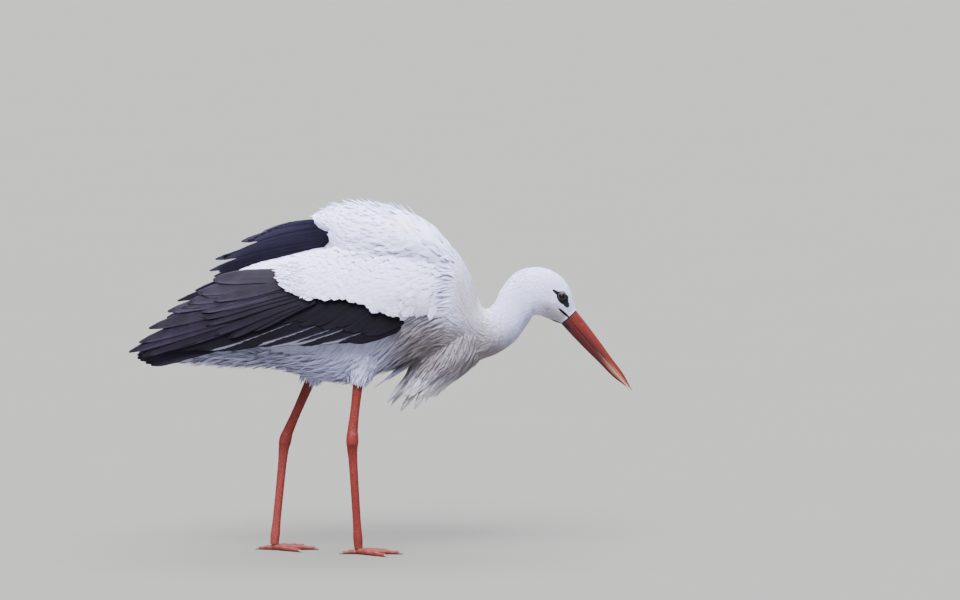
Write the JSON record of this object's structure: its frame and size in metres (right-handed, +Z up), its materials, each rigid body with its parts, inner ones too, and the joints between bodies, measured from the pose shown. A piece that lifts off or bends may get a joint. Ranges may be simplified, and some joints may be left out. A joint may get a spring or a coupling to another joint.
{
  "type": "white stork",
  "caption": "Life-size white stork in mid-stride, head lowered and neck bent, folded black and white wings, long red bill and legs, loose breast plumes.",
  "frame": {"origin": "centre of the bird's box on the floor plane its soles stand on", "axes": "+X forwards, the way the bird faces; +Y the bird's left side; +Z up"},
  "size_m": [0.854, 0.1862, 0.606],
  "materials": {
    "white_feather": "soft matte plumage, faintly blue in the shade",
    "cream_plume": "long soft plumes, cream with grey streaks",
    "black_feather": "dense flight feathers, satin violet-black",
    "bill_horn": "satin red horn",
    "red_leg_skin": "scaled skin, satin",
    "claw_horn": "dull brown horn",
    "eye": "wet dark brown"
  },
  "bodies": {
    "root": {"bill_lower": "bill_horn", "bill_upper": "bill_horn", "claw_hind_left": "claw_horn", "claw_hind_right": "claw_horn", "claw_inner_left": "claw_horn", "claw_inner_right": "claw_horn", "claw_middle_left": "claw_horn", "claw_middle_right": "claw_horn", "claw_outer_left": "claw_horn", "claw_outer_right": "claw_horn", "eye_left": "eye", "eye_right": "eye", "foot_left": "red_leg_skin", "foot_right": "red_leg_skin", "head": "white_feather", "hock_left": "red_leg_skin", "hock_right": "red_leg_skin", "mantle": "white_feather", "neck_lower": "white_feather", "neck_upper": "white_feather", "ruff": "cream_plume", "shin_left": "red_leg_skin", "shin_right": "red_leg_skin", "tail": "white_feather", "tarsus_left": "red_leg_skin", "tarsus_right": "red_leg_skin", "thigh_left": "white_feather", "thigh_right": "white_feather", "toe_hind_left": "red_leg_skin", "toe_hind_right": "red_leg_skin", "toe_inner_left": "red_leg_skin", "toe_inner_right": "red_leg_skin", "toe_middle_left": "red_leg_skin", "toe_middle_right": "red_leg_skin", "toe_outer_left": "red_leg_skin", "toe_outer_right": "red_leg_skin", "trunk": "white_feather", "vent": "white_feather", "wing_left_coverts": "white_feather", "wing_left_primaries": "black_feather", "wing_left_secondaries": "black_feather", "wing_left_tertials": "black_feather", "wing_right_coverts": "white_feather", "wing_right_primaries": "black_feather", "wing_right_secondaries": "black_feather", "wing_right_tertials": "black_feather"}
  },
  "joints": []
}
